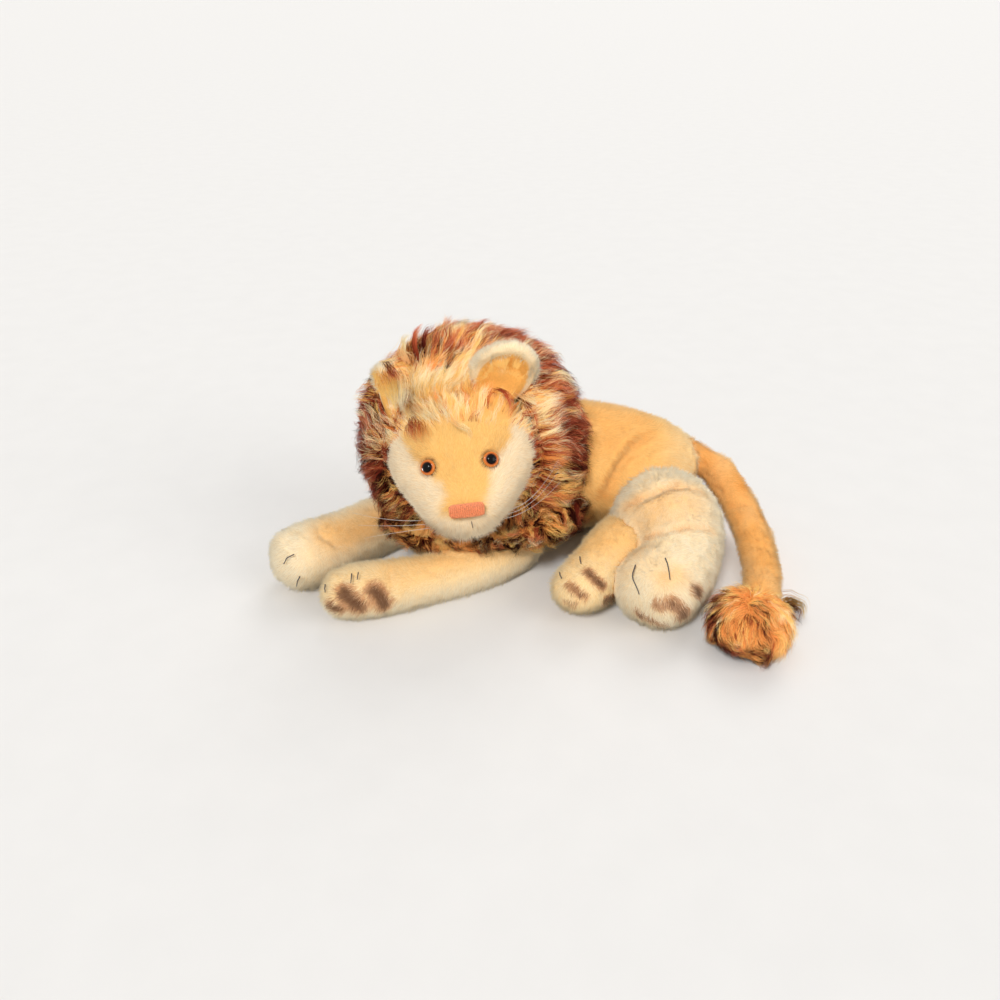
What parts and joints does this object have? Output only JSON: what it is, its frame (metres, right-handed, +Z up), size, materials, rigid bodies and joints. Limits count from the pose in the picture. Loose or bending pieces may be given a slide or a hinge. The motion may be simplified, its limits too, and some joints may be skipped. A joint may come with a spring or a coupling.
{
  "type": "plush lion",
  "caption": "Stuffed mohair lion lying down, its head turned to the side on a swivelling neck joint, with a shaggy tipped mane, glass eyes and a tufted tail.",
  "frame": {"origin": "on the floor, under the centre of the toy's bounding box", "axes": "+Z up, the forepaws reach to -X, the turned face looks to -Y"},
  "size_m": [0.2896, 0.1878, 0.1393],
  "materials": {
    "gold_mohair": "short pile",
    "pale_mohair": "short pile",
    "tipped_mohair": "long curly pile with dark tips",
    "tuft_mohair": "long pile",
    "amber_glass": "polished, painted behind",
    "black_glass": "polished",
    "nose_thread": "satin stitch",
    "black_thread": "twisted thread",
    "nylon_thread": "clear, single thread",
    "hardboard": "pressed board",
    "steel": "plain wire and plate"
  },
  "bodies": {
    "body": {"neck_disc_body": "hardboard", "neck_washer_body": "steel", "neck_pin": "steel", "torso": "gold_mohair", "left_foreleg": "gold_mohair", "right_foreleg": "gold_mohair", "left_hind_leg": "pale_mohair", "right_hind_leg": "pale_mohair", "tail": "gold_mohair", "tail_tuft": "tuft_mohair", "chest_ruff": "tipped_mohair", "left_forepaw_claw_1": "black_thread", "left_forepaw_claw_2": "black_thread", "left_forepaw_claw_3": "black_thread", "right_forepaw_claw_1": "black_thread", "right_forepaw_claw_2": "black_thread", "left_hind_paw_claw_1": "black_thread", "left_hind_paw_claw_2": "black_thread", "right_hind_paw_claw_1": "black_thread", "right_hind_paw_claw_2": "black_thread"},
    "head": {"neck_disc_head": "hardboard", "neck_washer_head": "steel", "left_ear": "pale_mohair", "right_ear": "pale_mohair", "mane": "tipped_mohair", "left_eye": "amber_glass", "left_pupil": "black_glass", "left_eye_shank": "steel", "right_eye": "amber_glass", "right_pupil": "black_glass", "right_eye_shank": "steel", "head": "gold_mohair", "nose": "nose_thread", "mouth_stitch": "black_thread", "left_whisker_1": "nylon_thread", "left_whisker_2": "nylon_thread", "left_whisker_3": "nylon_thread", "right_whisker_1": "nylon_thread", "right_whisker_2": "nylon_thread", "right_whisker_3": "nylon_thread"}
  },
  "joints": [
    {"name": "head_swivel", "type": "hinge", "parent": "body", "child": "head", "pos_m": [-0.02875, 0.01897, 0.0384], "axis": [-0.1299, -0.0499, 0.9903], "range_deg": [-154, 26]}
  ]
}
